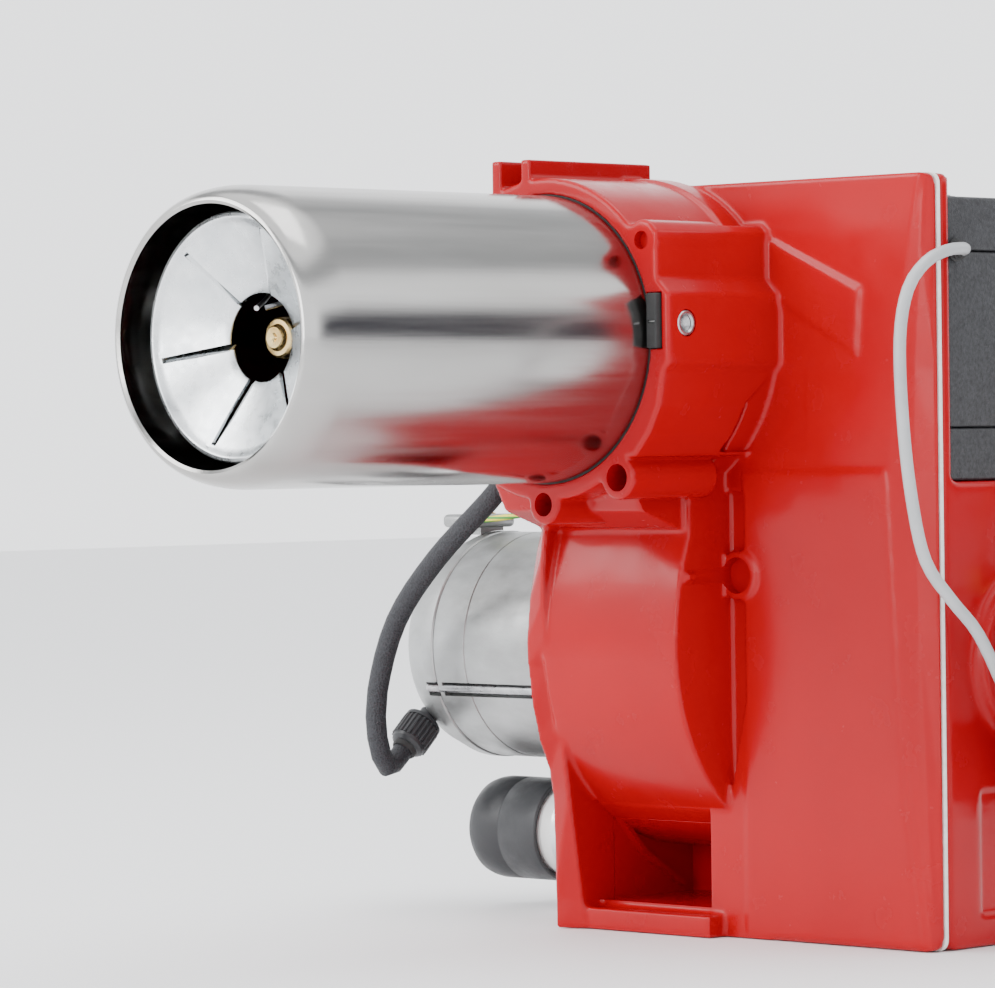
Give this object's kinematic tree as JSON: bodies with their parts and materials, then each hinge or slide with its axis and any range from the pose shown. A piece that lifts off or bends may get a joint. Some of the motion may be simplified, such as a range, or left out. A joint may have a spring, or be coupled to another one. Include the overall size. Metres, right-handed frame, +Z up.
{
  "type": "forced-draught oil burner",
  "caption": "Heated blower with a stainless blast tube, slotted flame disc, red cast fan scroll, side motor with capacitor, oil pump and black control housing.",
  "frame": {"origin": "centre of the box's bottom face, on the plane the castings stand on", "axes": "-Y out of the blast tube's mouth, +X towards the air intake and pump side (the motor is on -X), +Z up"},
  "size_m": [0.377, 0.3816, 0.312],
  "materials": {
    "red_enamel": "high-gloss red enamel over cast aluminium",
    "gasket_fibre": "matt white fibre board",
    "stainless": "polished rolled stainless steel",
    "rubber": "matt black rubber",
    "machined_steel": "machined and lightly oiled",
    "brass": "turned brass",
    "zinc_plate": "bright zinc-plated pressed steel",
    "ceramic": "glazed ceramic",
    "fan_steel": "galvanised sheet",
    "white_plastic": "moulded white plastic",
    "cast_aluminium": "as-cast, tumbled",
    "copper_winding": "varnished copper winding",
    "black_plastic": "black moulded plastic",
    "cover_plastic": "charcoal moulded plastic with a fine leather-like texture",
    "grey_plastic": "grey moulded plastic",
    "earth_sleeve": "green and yellow insulation",
    "copper": "drawn copper tube",
    "red_plastic": "translucent red plastic"
  },
  "bodies": {
    "housing": {"front_casting": "red_enamel", "rear_casting": "red_enamel", "body_gasket": "gasket_fibre", "blast_tube": "stainless", "tube_clip": "rubber", "cable_grommet": "rubber", "threaded_insert": "machined_steel", "motor_plate_screw_1": "machined_steel", "motor_plate_screw_2": "machined_steel", "motor_plate_screw_3": "machined_steel", "motor_rod_1": "machined_steel", "motor_rod_2": "machined_steel", "motor_bearing_front": "machined_steel", "motor_bearing_rear": "machined_steel", "coil_nut": "machined_steel", "pump_screw_1": "machined_steel", "pump_screw_2": "machined_steel", "line_socket": "brass", "pressure_union": "brass", "capacitor_clip": "zinc_plate", "capacitor_body": "white_plastic", "motor_plate": "cast_aluminium", "motor_front_bell": "cast_aluminium", "motor_casing": "cast_aluminium", "motor_end_bell": "cast_aluminium", "earth_tag": "cast_aluminium", "oil_pump": "cast_aluminium", "motor_stator": "copper_winding", "cable_gland": "black_plastic", "motor_cable": "black_plastic", "capacitor_boot": "black_plastic", "valve_coil": "black_plastic", "ignition_transformer": "black_plastic", "control_tray": "cover_plastic", "control_cover": "cover_plastic", "control_lid": "cover_plastic", "coil_lead": "grey_plastic", "control_unit": "grey_plastic", "flame_sensor": "grey_plastic", "earth_wire": "earth_sleeve", "oil_pipe": "copper"},
    "firing_head": {"diffuser_disc": "zinc_plate", "disc_bracket": "zinc_plate", "oil_nozzle": "brass", "oil_line": "machined_steel", "electrode_insulator_a": "ceramic", "electrode_insulator_b": "ceramic", "electrode_wire_a": "machined_steel", "electrode_wire_b": "machined_steel", "electrode_clamp": "zinc_plate"},
    "rotor": {"motor_shaft": "machined_steel", "motor_rotor": "fan_steel", "fan_wheel": "fan_steel", "pump_coupling": "white_plastic", "pump_shaft": "machined_steel"},
    "air_damper": {"damper_shaft": "machined_steel", "damper_flap": "zinc_plate", "damper_lever": "zinc_plate"},
    "reset": {"reset_button": "red_plastic"}
  },
  "joints": [
    {"name": "fan_spin", "type": "hinge", "parent": "housing", "child": "rotor", "pos_m": [-0.0115, 0.11425, 0.112], "axis": [1, 0, 0], "continuous": true},
    {"name": "head_setting", "type": "slide", "parent": "housing", "child": "firing_head", "axis": [0, -1, 0], "range_m": [0, 0.008]},
    {"name": "damper_hinge", "type": "hinge", "parent": "housing", "child": "air_damper", "pos_m": [-0.0115, 0.17725, 0.094], "axis": [-1, 0, 0], "range_deg": [0, 70]},
    {"name": "reset_press", "type": "slide", "parent": "housing", "child": "reset", "axis": [0, -1, 0], "range_m": [0, 0.003], "stiffness_N_per_m": 400, "springref_m": -0.001}
  ]
}
